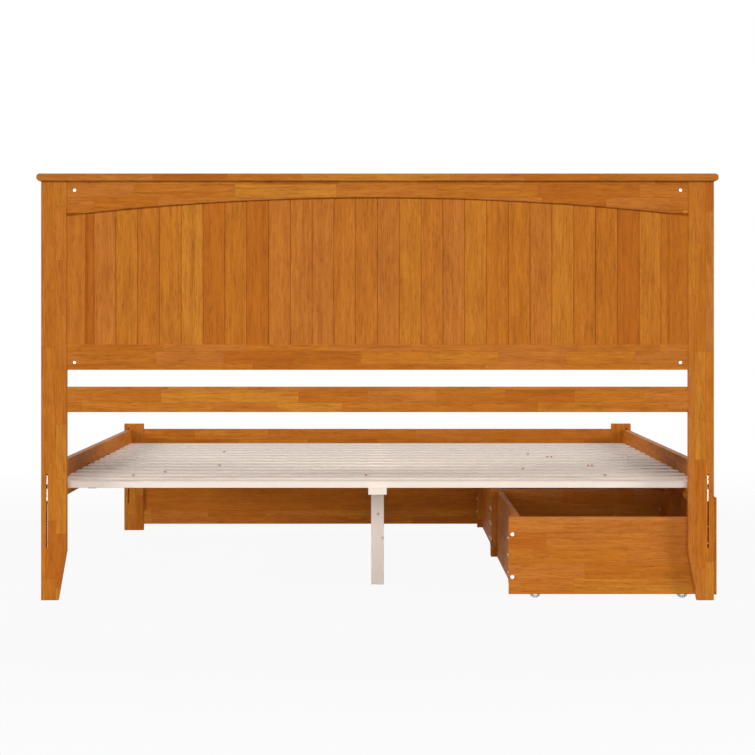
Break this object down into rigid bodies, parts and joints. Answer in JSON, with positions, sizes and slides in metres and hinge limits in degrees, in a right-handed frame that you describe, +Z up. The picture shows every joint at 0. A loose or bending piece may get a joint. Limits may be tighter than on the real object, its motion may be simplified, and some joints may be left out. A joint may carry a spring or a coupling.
{
  "type": "platform bed with storage drawers",
  "caption": "Wooden platform bed with an arched plank headboard, low footboard, pine slat deck on a middle beam with legs, and rolling drawers under one side.",
  "frame": {"origin": "on the floor, in the middle of the bed's outline", "axes": "+Z up, +Y from the foot to the headboard, +X to the right of somebody who faces the headboard; the drawers open towards -X"},
  "size_m": [2.018, 2.112, 1.263],
  "materials": {
    "stained_hardwood": "edge-glued hardwood staves, caramel stain, satin clear coat",
    "pine": "planed bare pine with small knots",
    "plywood": "thin plywood, sanded",
    "zinc_steel": "zinc plated",
    "webbing": "woven polyester strap",
    "nylon": "moulded nylon, pale grey"
  },
  "bodies": {
    "frame": {"barrel_nuts": "zinc_steel", "foot_support_leg": "pine", "footboard_bottom_rail": "stained_hardwood", "footboard_left_post": "stained_hardwood", "footboard_panel": "stained_hardwood", "footboard_right_post": "stained_hardwood", "footboard_top_rail": "stained_hardwood", "frame_screws": "zinc_steel", "glue_dowels": "pine", "head_support_leg": "pine", "headboard_arched_rail": "stained_hardwood", "headboard_cap": "stained_hardwood", "headboard_crossbar": "stained_hardwood", "headboard_left_post": "stained_hardwood", "headboard_left_stile": "stained_hardwood", "headboard_lower_rail": "stained_hardwood", "headboard_planks": "stained_hardwood", "headboard_right_post": "stained_hardwood", "headboard_right_stile": "stained_hardwood", "hook_pins": "zinc_steel", "left_side_rail": "stained_hardwood", "left_slat_ledger": "stained_hardwood", "middle_beam": "pine", "middle_support_leg": "pine", "post_bolts": "zinc_steel", "rail_hook_plates": "zinc_steel", "right_side_rail": "stained_hardwood", "right_slat_ledger": "stained_hardwood", "slat_straps": "webbing", "slats": "pine"},
    "head_drawer": {"head_drawer_back": "stained_hardwood", "head_drawer_battens": "pine", "head_drawer_bolts": "zinc_steel", "head_drawer_bottom": "plywood", "head_drawer_caster_axles": "zinc_steel", "head_drawer_caster_housings": "zinc_steel", "head_drawer_corner_blocks": "stained_hardwood", "head_drawer_foot_side": "stained_hardwood", "head_drawer_front": "stained_hardwood", "head_drawer_head_side": "stained_hardwood", "head_drawer_screws": "zinc_steel"},
    "foot_drawer": {"foot_drawer_back": "stained_hardwood", "foot_drawer_battens": "pine", "foot_drawer_bolts": "zinc_steel", "foot_drawer_bottom": "plywood", "foot_drawer_caster_axles": "zinc_steel", "foot_drawer_caster_housings": "zinc_steel", "foot_drawer_corner_blocks": "stained_hardwood", "foot_drawer_foot_side": "stained_hardwood", "foot_drawer_front": "stained_hardwood", "foot_drawer_head_side": "stained_hardwood", "foot_drawer_screws": "zinc_steel"},
    "foot_drawer_back_foot_wheel": {"foot_drawer_back_foot_wheel": "nylon"},
    "foot_drawer_back_head_wheel": {"foot_drawer_back_head_wheel": "nylon"},
    "foot_drawer_front_foot_wheel": {"foot_drawer_front_foot_wheel": "nylon"},
    "foot_drawer_front_head_wheel": {"foot_drawer_front_head_wheel": "nylon"},
    "head_drawer_back_foot_wheel": {"head_drawer_back_foot_wheel": "nylon"},
    "head_drawer_back_head_wheel": {"head_drawer_back_head_wheel": "nylon"},
    "head_drawer_front_foot_wheel": {"head_drawer_front_foot_wheel": "nylon"},
    "head_drawer_front_head_wheel": {"head_drawer_front_head_wheel": "nylon"}
  },
  "joints": [
    {"name": "head_drawer_slide", "type": "slide", "parent": "frame", "child": "head_drawer", "axis": [-1, 0, 0], "range_m": [0, 0.6]},
    {"name": "head_drawer_back_head_wheel_spin", "type": "hinge", "parent": "head_drawer", "child": "head_drawer_back_head_wheel", "pos_m": [-0.471, 0.982, 0.0175], "axis": [0, -1, 0], "continuous": true},
    {"name": "head_drawer_front_head_wheel_spin", "type": "hinge", "parent": "head_drawer", "child": "head_drawer_front_head_wheel", "pos_m": [-0.91, 0.982, 0.0175], "axis": [0, -1, 0], "continuous": true},
    {"name": "head_drawer_back_foot_wheel_spin", "type": "hinge", "parent": "head_drawer", "child": "head_drawer_back_foot_wheel", "pos_m": [-0.471, 0.038, 0.0175], "axis": [0, -1, 0], "continuous": true},
    {"name": "head_drawer_front_foot_wheel_spin", "type": "hinge", "parent": "head_drawer", "child": "head_drawer_front_foot_wheel", "pos_m": [-0.91, 0.038, 0.0175], "axis": [0, -1, 0], "continuous": true},
    {"name": "foot_drawer_slide", "type": "slide", "parent": "frame", "child": "foot_drawer", "axis": [-1, 0, 0], "range_m": [0, 0.6]},
    {"name": "foot_drawer_back_head_wheel_spin", "type": "hinge", "parent": "foot_drawer", "child": "foot_drawer_back_head_wheel", "pos_m": [-0.471, -0.046, 0.0175], "axis": [0, -1, 0], "continuous": true},
    {"name": "foot_drawer_front_head_wheel_spin", "type": "hinge", "parent": "foot_drawer", "child": "foot_drawer_front_head_wheel", "pos_m": [-0.91, -0.046, 0.0175], "axis": [0, -1, 0], "continuous": true},
    {"name": "foot_drawer_back_foot_wheel_spin", "type": "hinge", "parent": "foot_drawer", "child": "foot_drawer_back_foot_wheel", "pos_m": [-0.471, -0.99, 0.0175], "axis": [0, -1, 0], "continuous": true},
    {"name": "foot_drawer_front_foot_wheel_spin", "type": "hinge", "parent": "foot_drawer", "child": "foot_drawer_front_foot_wheel", "pos_m": [-0.91, -0.99, 0.0175], "axis": [0, -1, 0], "continuous": true}
  ],
  "couplings": [
    {"joint": "head_drawer_back_head_wheel_spin", "follows": "head_drawer_slide", "rad_per_m": 57.143},
    {"joint": "head_drawer_front_head_wheel_spin", "follows": "head_drawer_slide", "rad_per_m": 57.143},
    {"joint": "head_drawer_back_foot_wheel_spin", "follows": "head_drawer_slide", "rad_per_m": 57.143},
    {"joint": "head_drawer_front_foot_wheel_spin", "follows": "head_drawer_slide", "rad_per_m": 57.143},
    {"joint": "foot_drawer_back_head_wheel_spin", "follows": "foot_drawer_slide", "rad_per_m": 57.143},
    {"joint": "foot_drawer_front_head_wheel_spin", "follows": "foot_drawer_slide", "rad_per_m": 57.143},
    {"joint": "foot_drawer_back_foot_wheel_spin", "follows": "foot_drawer_slide", "rad_per_m": 57.143},
    {"joint": "foot_drawer_front_foot_wheel_spin", "follows": "foot_drawer_slide", "rad_per_m": 57.143}
  ]
}
